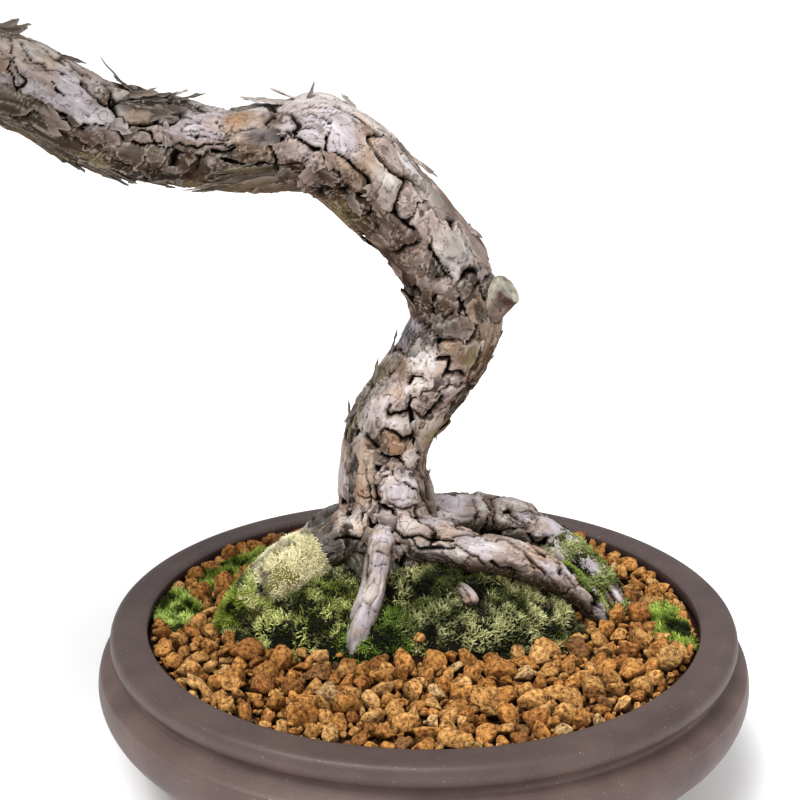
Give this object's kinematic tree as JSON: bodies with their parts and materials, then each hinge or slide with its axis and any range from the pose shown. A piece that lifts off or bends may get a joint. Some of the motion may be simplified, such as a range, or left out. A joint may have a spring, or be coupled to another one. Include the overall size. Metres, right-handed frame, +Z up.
{
  "type": "japanese black pine bonsai",
  "caption": "Potted japanese black pine bonsai with a plated, elbowed trunk, surface roots on a mossy mound and needle pads, in a round unglazed pot.",
  "frame": {"origin": "middle of the base of the box round pot and crown, on the surface that the pot stands on", "axes": "+Z up; +X from the crown towards the pot; -Y is the side that the picture shows"},
  "size_m": [0.446, 0.2716, 0.4248],
  "materials": {
    "unglazed_clay": "unglazed, dark brown, matte with fine pale specks",
    "bark": "thick plated bark, pinkish grey with dark cracks",
    "akadama": "dry ochre clay grains",
    "pumice": "coarse, matte",
    "moss": "short soft moss",
    "lichen": "pale dry crust",
    "needles": "stiff waxy pine needles",
    "screen_plastic": "moulded",
    "wire": "drawn"
  },
  "bodies": {
    "root": {"pot": "unglazed_clay", "trunk": "bark", "branch_left": "bark", "branch_front": "bark", "branch_back": "bark", "branch_upper_left": "bark", "branch_upper_right": "bark", "branch_top": "bark", "soil": "akadama", "drainage_layer": "pumice", "tie_wire": "wire", "drain_screen_front": "screen_plastic", "drain_screen_back": "screen_plastic", "screen_clip_front": "wire", "screen_clip_back": "wire", "moss_left": "moss", "moss_right": "moss", "moss_far_left": "moss", "moss_back_left": "moss", "moss_right_rim": "moss", "lichen_left_root": "lichen", "spray_left_1": "needles", "spray_left_2": "needles", "spray_left_3": "needles", "spray_left_4": "needles", "spray_left_5": "needles", "spray_left_6": "needles", "spray_front_1": "needles", "spray_front_2": "needles", "spray_front_3": "needles", "spray_front_4": "needles", "spray_front_5": "needles", "spray_front_6": "needles", "spray_back_1": "needles", "spray_back_2": "needles", "spray_back_3": "needles", "spray_back_4": "needles", "spray_back_5": "needles", "spray_back_6": "needles", "spray_upper_left_1": "needles", "spray_upper_left_2": "needles", "spray_upper_left_3": "needles", "spray_upper_left_4": "needles", "spray_upper_left_5": "needles", "spray_upper_left_6": "needles", "spray_upper_right_1": "needles", "spray_upper_right_2": "needles", "spray_upper_right_3": "needles", "spray_upper_right_4": "needles", "spray_upper_right_5": "needles", "spray_upper_right_6": "needles", "spray_top_1": "needles", "spray_top_2": "needles", "spray_top_3": "needles", "spray_top_4": "needles", "spray_top_5": "needles", "spray_top_6": "needles"}
  },
  "joints": []
}
